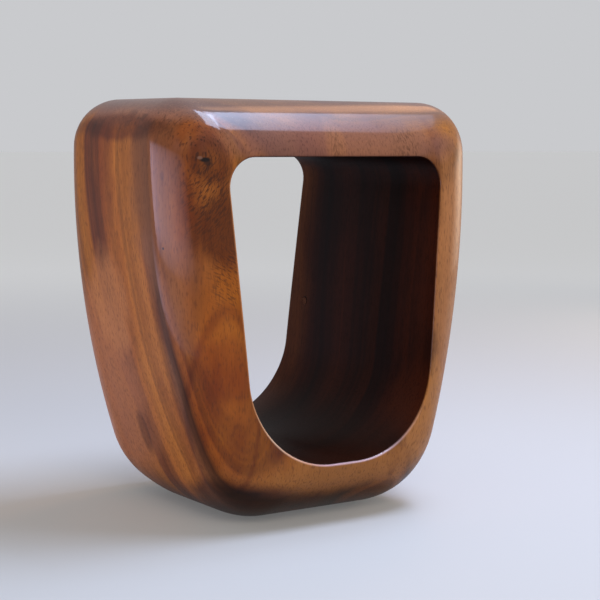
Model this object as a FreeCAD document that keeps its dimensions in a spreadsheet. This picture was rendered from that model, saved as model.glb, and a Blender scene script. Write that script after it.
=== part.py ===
import FreeCAD, Part
import math
import os

import Sketcher

os.makedirs("parts", exist_ok=True)

# Carved accent stool
# One block of solid timber with an opening through it from front to back, so that the seat, the two
# legs and the floor are a single piece. It stands on a planed foot with four glides let into it.
# X runs to the right of the front view, Y to the back and Z up. The origin is on the floor at the
# middle of the stool. Lengths are in millimetres and angles in degrees.

Vector = FreeCAD.Vector
doc = FreeCAD.newDocument("AccentStool")
sheet = doc.addObject("Spreadsheet::Sheet", "Sizes")

driving_sizes = [
    # Outline of the block in the front view
    ("stool_height", 450.0),
    ("stool_width", 400.0),
    ("top_corner_radius", 44.0),
    ("lower_corner_radius", 78.0),
    ("belly_flat_width", 125.0),
    # Depth of the block, which grows from the seat to the foot
    ("seat_depth", 262.0),
    ("base_depth", 306.0),
    # Edge roundings, as the flat left between them in depth and their reach across the front face
    ("seat_flat_depth", 122.0),
    ("seat_rounding_drop", 68.0),
    ("side_flat_depth", 164.0),
    ("side_rounding_width", 74.0),
    ("belly_flat_depth", 90.0),
    ("belly_rounding_rise", 79.0),
    ("face_corner_radius", 20.0),
    # Opening from front to back
    ("seat_thickness", 60.0),
    ("leg_thickness", 64.5),
    ("floor_thickness", 67.0),
    ("opening_lean", 5.2),
    ("opening_top_radius", 31.0),
    ("floor_flat_width", 32.0),
    # Depth planed off the belly to make the foot
    ("foot_planing", 1.5),
    # Glides in the foot
    ("glide_stand", 1.0),
    ("glide_thickness", 4.0),
    ("glide_radius", 10.0),
    ("glide_bevel", 0.8),
    ("glide_clearance", 0.3),
    ("glide_spacing_across", 96.0),
    ("glide_spacing_deep", 66.0),
    # Pan-head screws that hold the glides
    ("screw_length", 20.0),
    ("screw_shank_radius", 1.75),
    ("screw_head_radius", 3.5),
    ("screw_head_height", 1.8),
    ("screw_head_setback", 1.0),
    ("screw_point_length", 4.0),
    ("screw_clearance", 0.15),
    # Plug in the right wall of the opening
    ("plug_radius", 5.0),
    ("plug_length", 12.0),
    ("plug_clearance", 0.15),
    ("plug_height", 210.0),
    ("plug_from_back", 44.0),
]
for row, (alias, value) in enumerate(driving_sizes, start=1):
    sheet.set("A%d" % row, alias)
    sheet.set("B%d" % row, str(value))
    sheet.setAlias("B%d" % row, alias)
doc.recompute()


# Drawing helpers
def number(sketch, formula):
    """Work out a formula in sheet sizes as a plain number."""
    result = sketch.evalExpression(formula)
    return float(getattr(result, "Value", result))


def new_body(label):
    """Start a sub-part, whose label names its file."""
    body = doc.addObject("PartDesign::Body", label)
    body.Label = label
    return body


def new_sketch(body, name, role, offset=None):
    """Attach a sketch to one of the body's own origin planes."""
    sketch = body.newObject("Sketcher::SketchObject", name)
    plane = [item for item in body.Origin.OriginFeatures if item.Role == role][0]
    sketch.AttachmentSupport = [(plane, "")]
    sketch.MapMode = "FlatFace"
    if offset:
        sketch.setExpression("AttachmentOffset", offset)
    return sketch


def shifted(height, turn="0"):
    """Offset a sketch along its plane's normal, then turn it about its own X axis."""
    place = "create(<<vector>>; 0; 0; %s)" % height
    rotation = "create(<<rotation>>; create(<<vector>>; 1; 0; 0); %s)" % turn
    return "create(<<placement>>; %s; %s)" % (place, rotation)


def bind(sketch, *rule):
    """Add a dimension whose last entry is a formula, and bind it to the sheet."""
    kind, formula = rule[0], rule[-1]
    value = number(sketch, formula)
    start = math.radians(value) if kind == "Angle" else value
    index = sketch.addConstraint(Sketcher.Constraint(*rule[:-1], start))
    sketch.setExpression("Constraints[%d]" % index, formula)


def fix(sketch, *rule):
    """Add a geometric constraint."""
    sketch.addConstraint(Sketcher.Constraint(*rule))


def arc(centre_x, centre_y, radius, start, end):
    """Make an arc for a sketch, anticlockwise between two angles in radians."""
    circle = Part.Circle(Vector(centre_x, centre_y, 0), Vector(0, 0, 1), radius)
    return Part.ArcOfCircle(circle, start, end)


def line(start_x, start_y, end_x, end_y):
    """Make a straight line for a sketch."""
    return Part.LineSegment(Vector(start_x, start_y, 0), Vector(end_x, end_y, 0))


def draw_tangent_loop(sketch, pieces):
    """Draw lines and arcs in clockwise order, each tangent to the next."""
    for piece in pieces:
        sketch.addGeometry(piece, False)
    straight = [isinstance(piece, Part.LineSegment) for piece in pieces]
    for here in range(len(pieces)):
        there = (here + 1) % len(pieces)
        leaves = 2 if straight[here] else 1
        enters = 1 if straight[there] else 2
        fix(sketch, "Tangent", here, leaves, there, enters)


def draw_circle(sketch, centre_x, centre_y, radius):
    """Draw a circle whose centre and radius are formulas."""
    x, y, size = [number(sketch, formula) for formula in (centre_x, centre_y, radius)]
    circle = sketch.addGeometry(Part.Circle(Vector(x, y, 0), Vector(0, 0, 1), size), False)
    bind(sketch, "Radius", circle, radius)
    bind(sketch, "DistanceX", -1, 1, circle, 3, centre_x)
    bind(sketch, "DistanceY", -1, 1, circle, 3, centre_y)


def draw_section(sketch, points):
    """Draw a closed outline through points whose coordinates are formulas."""
    places = [(number(sketch, x), number(sketch, y)) for x, y in points]
    for here, place in enumerate(places):
        following = places[(here + 1) % len(places)]
        sketch.addGeometry(line(*place, *following), False)
    for here in range(len(points)):
        fix(sketch, "Coincident", here, 2, (here + 1) % len(points), 1)
    for here, (x, y) in enumerate(points):
        bind(sketch, "DistanceX", -1, 1, here, 1, x)
        bind(sketch, "DistanceY", -1, 1, here, 1, y)


def revolve(body, name, sketch):
    """Turn a section about the body's upright axis."""
    turned = body.newObject("PartDesign::Revolution", name)
    turned.Profile = sketch
    turned.ReferenceAxis = (sketch, ["V_Axis"])
    turned.Angle = 360
    doc.recompute()
    return turned


# The block's outline at one depth
# Top line, corner, side curve and lower corner run clockwise, then the belly line, then the mirror
# image of the first half. The side curve's radius is the one that brings the widest outline down to
# the flat of the belly.
side_inset = "((Sizes.stool_width - Sizes.belly_flat_width) / 2)"
block_bottom = "(Sizes.glide_stand - Sizes.foot_planing)"
side_height = "(Sizes.stool_height - Sizes.top_corner_radius - Sizes.lower_corner_radius - %s)" % block_bottom
lower_formula = "Sizes.lower_corner_radius"
side_formula = "(%s ^ 2 + %s ^ 2 - %s ^ 2) / (2 * (%s - %s))" % (
    side_inset, side_height, lower_formula, side_inset, lower_formula
)


def draw_block_outline(sketch, half_width, top, bottom, corner_radius):
    """Draw the block's outline for four formulas and the two radii that every outline shares."""
    width, high, low, corner, side, lower = [
        number(sketch, formula)
        for formula in (half_width, top, bottom, corner_radius, side_formula, lower_formula)
    ]
    corner_x = width - corner
    corner_y = high - corner
    side_x = width - side
    lower_y = low + lower
    lower_x = side_x + math.sqrt((side - lower) ** 2 - (corner_y - lower_y) ** 2)
    meet = math.atan2(lower_y - corner_y, lower_x - side_x)
    right = math.radians(90)
    draw_tangent_loop(sketch, [
        line(-corner_x, high, corner_x, high),
        arc(corner_x, corner_y, corner, 0, right),
        arc(side_x, corner_y, side, meet, 0),
        arc(lower_x, lower_y, lower, -right, meet),
        line(lower_x, low, -lower_x, low),
        arc(-lower_x, lower_y, lower, 2 * right - meet, 3 * right),
        arc(-side_x, corner_y, side, 2 * right, 2 * right - meet),
        arc(-corner_x, corner_y, corner, right, 2 * right),
    ])
    top_line, right_corner, right_side, right_lower, belly, left_lower, left_side, left_corner = range(8)
    fix(sketch, "Symmetric", top_line, 1, top_line, 2, -2)
    fix(sketch, "Horizontal", belly)
    fix(sketch, "Equal", right_corner, left_corner)
    fix(sketch, "Equal", right_side, left_side)
    fix(sketch, "Equal", right_lower, left_lower)
    fix(sketch, "Horizontal", right_corner, 3, right_side, 3)
    fix(sketch, "Horizontal", left_corner, 3, left_side, 3)
    bind(sketch, "Radius", right_corner, corner_radius)
    bind(sketch, "Radius", right_side, side_formula)
    bind(sketch, "Radius", right_lower, lower_formula)
    bind(sketch, "DistanceX", -1, 1, right_corner, 1, half_width)
    bind(sketch, "DistanceY", -1, 1, top_line, 2, top)
    bind(sketch, "DistanceY", -1, 1, belly, 1, bottom)


# The opening's outline
# Its sides lean inwards as they go down and run into two large lower corners, whose radius follows
# from the flat left on the floor.
opening_half_width = "(Sizes.stool_width / 2 - Sizes.leg_thickness)"
opening_top = "Sizes.stool_height - Sizes.seat_thickness"
side_start = opening_top + " - Sizes.opening_top_radius * (1 + sin(Sizes.opening_lean))"


def draw_opening_outline(sketch):
    """Draw the opening's outline in the front view."""
    lean = math.radians(number(sketch, "Sizes.opening_lean"))
    half_width = number(sketch, opening_half_width)
    high = number(sketch, opening_top)
    low = number(sketch, "Sizes.floor_thickness")
    top_radius = number(sketch, "Sizes.opening_top_radius")
    lower_x = number(sketch, "Sizes.floor_flat_width / 2")
    top_x = half_width - top_radius * math.cos(lean)
    top_y = high - top_radius
    side_y = top_y - top_radius * math.sin(lean)
    sharp_x = half_width - (side_y - low) * math.tan(lean)
    lower_radius = (sharp_x - lower_x) / (math.cos(lean) - (1 - math.sin(lean)) * math.tan(lean))
    lower_y = low + lower_radius
    foot_x = lower_x + lower_radius * math.cos(lean)
    foot_y = lower_y - lower_radius * math.sin(lean)
    right = math.radians(90)
    draw_tangent_loop(sketch, [
        line(-top_x, high, top_x, high),
        arc(top_x, top_y, top_radius, -lean, right),
        line(half_width, side_y, foot_x, foot_y),
        arc(lower_x, lower_y, lower_radius, -right, -lean),
        line(lower_x, low, -lower_x, low),
        arc(-lower_x, lower_y, lower_radius, 2 * right + lean, 3 * right),
        line(-foot_x, foot_y, -half_width, side_y),
        arc(-top_x, top_y, top_radius, right, 2 * right + lean),
    ])
    top_line, right_top, right_side, right_lower, floor, left_lower, left_side, left_top = range(8)
    fix(sketch, "Symmetric", top_line, 1, top_line, 2, -2)
    fix(sketch, "Horizontal", floor)
    fix(sketch, "Horizontal", right_side, 1, left_side, 2)
    fix(sketch, "Equal", right_top, left_top)
    fix(sketch, "Equal", right_lower, left_lower)
    bind(sketch, "Radius", right_top, "Sizes.opening_top_radius")
    bind(sketch, "DistanceX", floor, 2, floor, 1, "Sizes.floor_flat_width")
    bind(sketch, "DistanceX", -1, 1, right_side, 1, opening_half_width)
    bind(sketch, "DistanceY", -1, 1, top_line, 2, opening_top)
    bind(sketch, "DistanceY", -1, 1, floor, 1, "Sizes.floor_thickness")
    bind(sketch, "Angle", left_side, "90 + Sizes.opening_lean")


# Carved block
# The outer form is a loft through outlines set one behind the other. Each stands at a share of the
# half depth, from 1 at the front face to -1 at the back, and is drawn in as its edge roundings ask.
# A rounding is a quarter ellipse. The outlines are spaced by even turns of the belly's rounding, so
# that they lie closest together where the surface bends most. Their planes fan out a little, because
# the stool is deeper at the foot than at the seat.
quarter_turn = 90
turn_steps = 12
turns = [quarter_turn * step / turn_steps for step in range(turn_steps + 1)]
belly_share = "(1 - Sizes.belly_flat_depth / Sizes.base_depth)"
front_shares = ["(1 - (1 - sin(%g)) * %s)" % (turn, belly_share) for turn in turns]
outline_places = [("-1", share) for share in reversed(front_shares)]
outline_places += [("1", share) for share in front_shares]


def rounding(share, flat, depth):
    """Give how much of a rounding's reach is gone at this share of the half depth."""
    along = "max(0; 1 - (1 - %s) / (1 - %s / (%s)))" % (share, flat, depth)
    return "(1 - sqrt(max(0; 1 - (%s) ^ 2)))" % along


block = new_body("carved_block")
outlines = []
for index, (sign, share) in enumerate(outline_places):
    slope = "(%s * %s * (Sizes.base_depth - Sizes.seat_depth) / 2 / Sizes.stool_height)" % (sign, share)
    stretch = "sqrt(1 + %s ^ 2)" % slope
    seat_pull = rounding(share, "Sizes.seat_flat_depth", "Sizes.seat_depth")
    side_pull = rounding(share, "Sizes.side_flat_depth", "(Sizes.seat_depth + Sizes.base_depth) / 2")
    belly_pull = rounding(share, "Sizes.belly_flat_depth", "Sizes.base_depth")
    outline_offset = shifted("%s * %s * Sizes.base_depth / 2" % (sign, share), "-atan(%s)" % slope)
    outline = new_sketch(block, "outline_%02d" % index, "XZ_Plane", outline_offset)
    draw_block_outline(
        outline,
        "Sizes.stool_width / 2 - %s * Sizes.side_rounding_width" % side_pull,
        "(Sizes.stool_height - %s * Sizes.seat_rounding_drop) * %s" % (seat_pull, stretch),
        "%s + %s * Sizes.belly_rounding_rise" % (block_bottom, belly_pull),
        "Sizes.top_corner_radius + %s * (Sizes.face_corner_radius - Sizes.top_corner_radius)" % side_pull,
    )
    outlines.append(outline)
outer_form = block.newObject("PartDesign::AdditiveLoft", "outer_form")
outer_form.Profile = outlines[0]
outer_form.Sections = outlines[1:]
outer_form.Ruled = True
doc.recompute()

opening_sketch = new_sketch(block, "opening_outline", "XZ_Plane")
draw_opening_outline(opening_sketch)
opening = block.newObject("PartDesign::Pocket", "opening")
opening.Profile = opening_sketch
opening.Type = "ThroughAll"
opening.SideType = "Symmetric"
doc.recompute()

foot_sketch = new_sketch(block, "foot_plane", "XY_Plane", shifted("Sizes.glide_stand"))
draw_circle(foot_sketch, "0", "0", "Sizes.stool_width")
foot = block.newObject("PartDesign::Pocket", "planed_foot")
foot.Profile = foot_sketch
foot.Type = "ThroughAll"
doc.recompute()

# Places of the glides, as signs for across and deep
glide_places = {
    "front_left": (-1, -1),
    "front_right": (1, -1),
    "rear_left": (-1, 1),
    "rear_right": (1, 1),
}


def glide_place(signs):
    """Give the formulas for a glide's place on the floor."""
    across = "%d * Sizes.glide_spacing_across / 2" % signs[0]
    deep = "%d * Sizes.glide_spacing_deep / 2" % signs[1]
    return across, deep


def drill_up(name, height, radius, depth):
    """Sink a round hole upwards into the block over every glide."""
    sketch = new_sketch(block, name + "_outline", "XY_Plane", shifted(height))
    for signs in glide_places.values():
        draw_circle(sketch, *glide_place(signs), radius)
    hole = block.newObject("PartDesign::Pocket", name)
    hole.Profile = sketch
    hole.Reversed = True
    hole.setExpression("Length", depth)
    doc.recompute()


recess_depth = "Sizes.glide_thickness - Sizes.glide_stand"
pilot_depth = "Sizes.screw_head_setback + Sizes.screw_length - Sizes.glide_thickness + Sizes.screw_clearance"
drill_up("glide_recess", "Sizes.glide_stand", "Sizes.glide_radius + Sizes.glide_clearance", recess_depth)
drill_up("screw_pilot", "Sizes.glide_thickness", "Sizes.screw_shank_radius", pilot_depth)

# The plug's hole runs level into the right wall. Its bottom is measured from where the leaning wall
# stands at the plug's height.
wall_at_plug = "(%s - (%s - Sizes.plug_height) * tan(Sizes.opening_lean))" % (opening_half_width, side_start)
plug_reach = wall_at_plug + " + Sizes.plug_length"
plug_back = "Sizes.base_depth / 2 - Sizes.plug_from_back"
plug_hole_sketch = new_sketch(block, "plug_hole_outline", "YZ_Plane")
draw_circle(plug_hole_sketch, plug_back, "Sizes.plug_height", "Sizes.plug_radius + Sizes.plug_clearance")
plug_hole = block.newObject("PartDesign::Pocket", "plug_hole")
plug_hole.Profile = plug_hole_sketch
plug_hole.Reversed = True
plug_hole.setExpression("Length", plug_reach)
doc.recompute()

# Plug
# A short dowel, planed off level with the leaning wall.
plug = new_body("knot_plug")
plug_sketch = new_sketch(plug, "plug_outline", "YZ_Plane")
draw_circle(plug_sketch, plug_back, "Sizes.plug_height", "Sizes.plug_radius")
dowel = plug.newObject("PartDesign::Pad", "dowel")
dowel.Profile = plug_sketch
dowel.setExpression("Length", plug_reach)
doc.recompute()
plug_face_sketch = new_sketch(plug, "plug_face", "XZ_Plane")
draw_opening_outline(plug_face_sketch)
plug_face = plug.newObject("PartDesign::Pocket", "plug_planed_level")
plug_face.Profile = plug_face_sketch
plug_face.Type = "ThroughAll"
plug_face.SideType = "Symmetric"
doc.recompute()

# Glides and their screws
# Each glide is a turned disc with a bevelled lower edge and a counterbored hole, and each screw has a
# pan head and a point. Both are drawn as a half section and turned about the upright axis. Their own
# origin is on the floor.
screw_seat = "Sizes.screw_head_setback + Sizes.screw_head_height"
screw_tip = "Sizes.screw_head_setback + Sizes.screw_length"
head_room = "Sizes.screw_head_radius + Sizes.screw_clearance"
shank_room = "Sizes.screw_shank_radius + Sizes.screw_clearance"
for place, signs in glide_places.items():
    across, deep = glide_place(signs)

    glide = new_body("glide_" + place)
    glide_sketch = new_sketch(glide, "glide_section_" + place, "XZ_Plane")
    draw_section(glide_sketch, [
        (head_room, "0"),
        ("Sizes.glide_radius - Sizes.glide_bevel", "0"),
        ("Sizes.glide_radius", "Sizes.glide_bevel"),
        ("Sizes.glide_radius", "Sizes.glide_thickness"),
        (shank_room, "Sizes.glide_thickness"),
        (shank_room, screw_seat),
        (head_room, screw_seat),
    ])
    revolve(glide, "glide_disc_" + place, glide_sketch)
    glide.setExpression("Placement.Base.x", across)
    glide.setExpression("Placement.Base.y", deep)

    screw = new_body("glide_screw_" + place)
    screw_sketch = new_sketch(screw, "screw_section_" + place, "XZ_Plane")
    draw_section(screw_sketch, [
        ("0", "Sizes.screw_head_setback"),
        ("Sizes.screw_head_radius", "Sizes.screw_head_setback"),
        ("Sizes.screw_head_radius", screw_seat),
        ("Sizes.screw_shank_radius", screw_seat),
        ("Sizes.screw_shank_radius", screw_tip + " - Sizes.screw_point_length"),
        ("0", screw_tip),
    ])
    revolve(screw, "screw_turned_" + place, screw_sketch)
    screw.setExpression("Placement.Base.x", across)
    screw.setExpression("Placement.Base.y", deep)
doc.recompute()

# Check the whole document, then write each sub-part to its own file
for item in doc.Objects:
    if "Invalid" in item.State or "Error" in item.State:
        raise RuntimeError("%s failed: %s" % (item.Name, item.State))
bodies = [item for item in doc.Objects if item.TypeId == "PartDesign::Body"]
for body in bodies:
    shape = body.Shape
    if shape.isNull() or not shape.isValid() or len(shape.Solids) != 1:
        raise RuntimeError("%s has no sound solid" % body.Label)
for body in bodies:
    body.Shape.exportStep("parts/%s.step" % body.Label)
    print(body.Label, round(body.Shape.Volume), body.Shape.BoundBox)
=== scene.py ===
import math

import bmesh
import bpy
from mathutils import Matrix, Vector
from mathutils.kdtree import KDTree


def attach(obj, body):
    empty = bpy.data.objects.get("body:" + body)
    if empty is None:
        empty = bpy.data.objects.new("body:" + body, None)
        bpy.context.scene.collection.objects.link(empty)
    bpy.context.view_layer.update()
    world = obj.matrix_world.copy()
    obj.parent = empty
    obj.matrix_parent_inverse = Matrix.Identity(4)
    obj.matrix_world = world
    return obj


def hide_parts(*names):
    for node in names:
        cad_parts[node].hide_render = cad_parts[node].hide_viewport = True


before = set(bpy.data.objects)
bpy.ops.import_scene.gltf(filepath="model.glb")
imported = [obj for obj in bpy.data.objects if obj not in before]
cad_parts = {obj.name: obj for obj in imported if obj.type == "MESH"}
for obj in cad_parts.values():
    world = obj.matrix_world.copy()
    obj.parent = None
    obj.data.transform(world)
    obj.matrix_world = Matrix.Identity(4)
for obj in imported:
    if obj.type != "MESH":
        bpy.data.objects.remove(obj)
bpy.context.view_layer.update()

# Carved block
# The whole stool is one block of rain tree wood, seat, legs, floor and belly together. It was sawn
# out, carved round, sanded and lacquered. The opening is cut straight through from front to back.
MM_IN_M = 1000.0
STOOL_HEIGHT = 450.0
STOOL_WIDTH = 400.0
SEAT_DEPTH = 262.0
BASE_DEPTH = 306.0
MIDDLE_DEPTH = (SEAT_DEPTH + BASE_DEPTH) / 2
TOP_CORNER = 44.0
LOWER_CORNER = 78.0
BELLY_FLAT_WIDTH = 125.0
SEAT_FLAT_DEPTH = 122.0
SEAT_DROP = 68.0
SIDE_FLAT_DEPTH = 164.0
SIDE_NARROWING = 74.0
BELLY_FLAT_DEPTH = 90.0
BELLY_RISE = 79.0
FACE_CORNER = 20.0
BELLY_BOTTOM = -0.5
FOOT_PLANE = 1.0

# The side's long curve meets the top corner level and the lower corner smoothly.
side_inset = (STOOL_WIDTH - BELLY_FLAT_WIDTH) / 2
side_height = STOOL_HEIGHT - TOP_CORNER - LOWER_CORNER - BELLY_BOTTOM
side_radius = (side_inset ** 2 + side_height ** 2 - LOWER_CORNER ** 2) / (2 * (side_inset - LOWER_CORNER))


def fallen_in(share, flat, depth):
    """Say how far a rounding has fallen in, from 0 to 1, at a share of the half depth."""
    past = max(0.0, 1 - (1 - abs(share)) / (1 - flat / depth))
    return 1 - math.sqrt(max(0.0, 1 - past * past))


def skin_point(column, share):
    """Give a point of the outer skin in mm, where share runs from 1 at the front to -1 at the back."""
    side, stretch, along = column
    lean = share * (BASE_DEPTH - SEAT_DEPTH) / 2 / STOOL_HEIGHT
    side_in = fallen_in(share, SIDE_FLAT_DEPTH, MIDDLE_DEPTH)
    half = STOOL_WIDTH / 2 - SIDE_NARROWING * side_in
    top = STOOL_HEIGHT - SEAT_DROP * fallen_in(share, SEAT_FLAT_DEPTH, SEAT_DEPTH)
    top *= math.sqrt(1 + lean * lean)
    bottom = BELLY_BOTTOM + BELLY_RISE * fallen_in(share, BELLY_FLAT_DEPTH, BASE_DEPTH)
    corner = TOP_CORNER + (FACE_CORNER - TOP_CORNER) * side_in
    corner_x = half - corner
    corner_z = top - corner
    side_x = half - side_radius
    lower_z = bottom + LOWER_CORNER
    lower_x = side_x + math.sqrt((side_radius - LOWER_CORNER) ** 2 - (corner_z - lower_z) ** 2)
    meeting = math.atan2(corner_z - lower_z, lower_x - side_x)
    if stretch == "top":
        across, up = along * corner_x, top
    elif stretch == "corner":
        turn = math.pi / 2 * (1 - along)
        across, up = corner_x + corner * math.cos(turn), corner_z + corner * math.sin(turn)
    elif stretch == "side":
        turn = -meeting * along
        across, up = side_x + side_radius * math.cos(turn), corner_z + side_radius * math.sin(turn)
    elif stretch == "lower corner":
        turn = -meeting - (math.pi / 2 - meeting) * along
        across, up = lower_x + LOWER_CORNER * math.cos(turn), lower_z + LOWER_CORNER * math.sin(turn)
    else:
        across, up = lower_x * (1 - along), bottom
    tilt = math.atan(lean)
    return Vector((side * across, up * math.sin(tilt) - share * BASE_DEPTH / 2, up * math.cos(tilt)))


RAIL_HEIGHT = 60.0
STILE_WIDTH = 64.5
OPENING_TOP = STOOL_HEIGHT - RAIL_HEIGHT
OPENING_FLOOR = 67.0
OPENING_LEAN = math.radians(5.2)
OPENING_CORNER = 31.0
FLOOR_FLAT_WIDTH = 32.0
opening_half = STOOL_WIDTH / 2 - STILE_WIDTH
opening_corner_x = opening_half - OPENING_CORNER * math.cos(OPENING_LEAN)
opening_corner_z = OPENING_TOP - OPENING_CORNER
wall_top = opening_corner_z - OPENING_CORNER * math.sin(OPENING_LEAN)
bowl_radius = (opening_half - FLOOR_FLAT_WIDTH / 2) * math.cos(OPENING_LEAN)
bowl_radius -= (wall_top - OPENING_FLOOR) * math.sin(OPENING_LEAN)
bowl_radius /= 1 - math.sin(OPENING_LEAN)
wall_bottom = OPENING_FLOOR + bowl_radius * (1 - math.sin(OPENING_LEAN))


def opening_half_width(up):
    """Give half the opening's width in mm at a height, or less than nothing above and below it."""
    if up >= OPENING_TOP or up <= OPENING_FLOOR:
        return -1.0
    if up > wall_top:
        return opening_corner_x + math.sqrt(OPENING_CORNER ** 2 - (up - opening_corner_z) ** 2)
    if up > wall_bottom:
        return opening_half - (wall_top - up) * math.tan(OPENING_LEAN)
    return FLOOR_FLAT_WIDTH / 2 + math.sqrt(bowl_radius ** 2 - (OPENING_FLOOR + bowl_radius - up) ** 2)


HALVINGS = 40


def halve(low, high, beyond):
    """Close in on the number between low and high past which beyond is true."""
    for _ in range(HALVINGS):
        middle = (low + high) / 2
        if beyond(middle):
            high = middle
        else:
            low = middle
    return (low + high) / 2


# Columns run round the block's outline and rows run over the skin, round the opening's edge and
# through the tunnel.
half_outline = []
for stretch, steps in (("top", 28), ("corner", 14), ("side", 46), ("lower corner", 28), ("belly", 12)):
    for step in range(steps):
        half_outline.append((stretch, step / steps))
columns = [(1, stretch, along) for stretch, along in half_outline]
columns.append((1, "belly", 1.0))
columns += [(-1, stretch, along) for stretch, along in reversed(half_outline[1:])]

ARRIS_WIDTH = 3.0
ARRIS_STEPS = 5
ROUNDING_ROWS = 34
FLAT_ROWS = 10
TUNNEL_ROWS = 16
flat_share = BELLY_FLAT_DEPTH / BASE_DEPTH

# Nearer the middle of the depth than this share, no column has reached the opening's edge.
CLEAR_SHARE = 0.3


def opening_edge(column, way):
    """Give the skin's last share on one side, and the points of the rounded edge from there inwards."""
    def in_opening(share):
        point = skin_point(column, way * share)
        return abs(point.x) < opening_half_width(point.z)

    rim_share = halve(CLEAR_SHARE, 1.0, in_opening)
    rim = skin_point(column, way * rim_share)

    def near_rim(share):
        return (skin_point(column, way * share) - rim).length < ARRIS_WIDTH

    last_share = halve(CLEAR_SHARE, rim_share, near_rim)
    start = skin_point(column, way * last_share)
    end = rim + Vector((0, way * ARRIS_WIDTH, 0))
    edge = []
    for step in range(1, ARRIS_STEPS + 1):
        part = step / ARRIS_STEPS
        edge.append(start * (1 - part) ** 2 + rim * 2 * part * (1 - part) + end * part ** 2)
    return last_share, edge


def face_outwards(mesh):
    """Turn every face of a closed mesh outwards."""
    edit = bmesh.new()
    edit.from_mesh(mesh)
    bmesh.ops.recalc_face_normals(edit, faces=edit.faces)
    edit.to_mesh(mesh)
    edit.free()


def shade_smooth(mesh, sharp_degrees):
    """Shade a mesh smooth, apart from the edges that turn by more than an angle."""
    for polygon in mesh.polygons:
        polygon.use_smooth = True
    mesh.set_sharp_from_angle(angle=math.radians(sharp_degrees))


rings = []
for column in columns:
    front_share, front_edge = opening_edge(column, 1)
    back_share, back_edge = opening_edge(column, -1)
    ring = []
    for way, last_share in ((1, front_share), (-1, back_share)):
        full_turn = math.asin((last_share - flat_share) / (1 - flat_share))
        turns = [full_turn * row / ROUNDING_ROWS for row in range(ROUNDING_ROWS + 1)]
        shares = [flat_share + (1 - flat_share) * math.sin(turn) for turn in turns]
        if way == 1:
            ring += [skin_point(column, share) for share in reversed(shares)]
            for row in range(1, FLAT_ROWS):
                ring.append(skin_point(column, flat_share * (1 - 2 * row / FLAT_ROWS)))
        else:
            ring += [skin_point(column, -share) for share in shares]
    ring += back_edge
    for row in range(1, TUNNEL_ROWS):
        ring.append(back_edge[-1].lerp(front_edge[-1], row / TUNNEL_ROWS))
    ring += reversed(front_edge)
    for point in ring:
        point.z = max(point.z, FOOT_PLANE)
    rings.append(ring)

row_count = len(rings[0])
block_points = [point / MM_IN_M for ring in rings for point in ring]
block_faces = []
for number in range(len(rings)):
    here = number * row_count
    there = (number + 1) % len(rings) * row_count
    for row in range(row_count):
        beyond = (row + 1) % row_count
        block_faces.append((here + row, there + row, there + beyond, here + beyond))
block_mesh = bpy.data.meshes.new("carved_block_mesh")
block_mesh.from_pydata(block_points, [], block_faces)
block = bpy.data.objects.new("carved_wood", block_mesh)
bpy.context.scene.collection.objects.link(block)
face_outwards(block_mesh)


def turned(section, steps, name):
    """Make a round solid from (radius, height) points in mm that start and end on the axis."""
    points = [Vector((0, 0, section[0][1]))]
    for radius, height in section[1:-1]:
        for step in range(steps):
            turn = 2 * math.pi * step / steps
            points.append(Vector((radius * math.cos(turn), radius * math.sin(turn), height)))
    points.append(Vector((0, 0, section[-1][1])))
    faces = []
    for step in range(steps):
        beside = (step + 1) % steps
        faces.append((0, 1 + beside, 1 + step))
        for ring_number in range(len(section) - 3):
            low = 1 + ring_number * steps
            faces.append((low + step, low + beside, low + steps + beside, low + steps + step))
        last = 1 + (len(section) - 3) * steps
        faces.append((last + step, last + beside, len(points) - 1))
    mesh = bpy.data.meshes.new(name)
    mesh.from_pydata([point / MM_IN_M for point in points], [], faces)
    return mesh


# Four stepped holes go up into the foot for the glides and their screws, and one level hole goes into
# the right wall for the plug. All five are cut at once, by cutters that start outside the wood.
GLIDE_ACROSS = 96.0
GLIDE_DEEP = 66.0
GLIDE_THICKNESS = 4.0
RECESS_RADIUS = 10.3
PILOT_RADIUS = 1.9
PILOT_TOP = 21.5
PLUG_RADIUS = 5.0
PLUG_ROOM = 0.15
PLUG_HEIGHT = 210.0
PLUG_LENGTH = 12.0
PLUG_FROM_BACK = 44.0
BELOW_FOOT = -3.0
BEFORE_WALL = -20.0
ROUND_STEPS = 48
plug_back = BASE_DEPTH / 2 - PLUG_FROM_BACK
wall_at_plug = opening_half_width(PLUG_HEIGHT)

cutters = bmesh.new()
foot_hole = turned([
    (0, BELOW_FOOT),
    (RECESS_RADIUS, BELOW_FOOT),
    (RECESS_RADIUS, GLIDE_THICKNESS),
    (PILOT_RADIUS, GLIDE_THICKNESS),
    (PILOT_RADIUS, PILOT_TOP),
    (0, PILOT_TOP)], ROUND_STEPS, "foot_hole")
plug_hole = turned([
    (0, BEFORE_WALL),
    (PLUG_RADIUS + PLUG_ROOM, BEFORE_WALL),
    (PLUG_RADIUS + PLUG_ROOM, PLUG_LENGTH),
    (0, PLUG_LENGTH)], ROUND_STEPS, "plug_hole")
for across in (-1, 1):
    for deep in (-1, 1):
        start = len(cutters.verts)
        cutters.from_mesh(foot_hole)
        cutters.verts.ensure_lookup_table()
        for vertex in cutters.verts[start:]:
            vertex.co += Vector((across * GLIDE_ACROSS, deep * GLIDE_DEEP, 0)) / (2 * MM_IN_M)
start = len(cutters.verts)
cutters.from_mesh(plug_hole)
cutters.verts.ensure_lookup_table()
for vertex in cutters.verts[start:]:
    level = Vector((vertex.co.z, vertex.co.x, vertex.co.y))
    vertex.co = level + Vector((wall_at_plug, plug_back, PLUG_HEIGHT)) / MM_IN_M
bmesh.ops.recalc_face_normals(cutters, faces=cutters.faces)
cutter_mesh = bpy.data.meshes.new("hole_cutters")
cutters.to_mesh(cutter_mesh)
cutters.free()
cutter = bpy.data.objects.new("hole_cutters", cutter_mesh)
bpy.context.scene.collection.objects.link(cutter)
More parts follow.
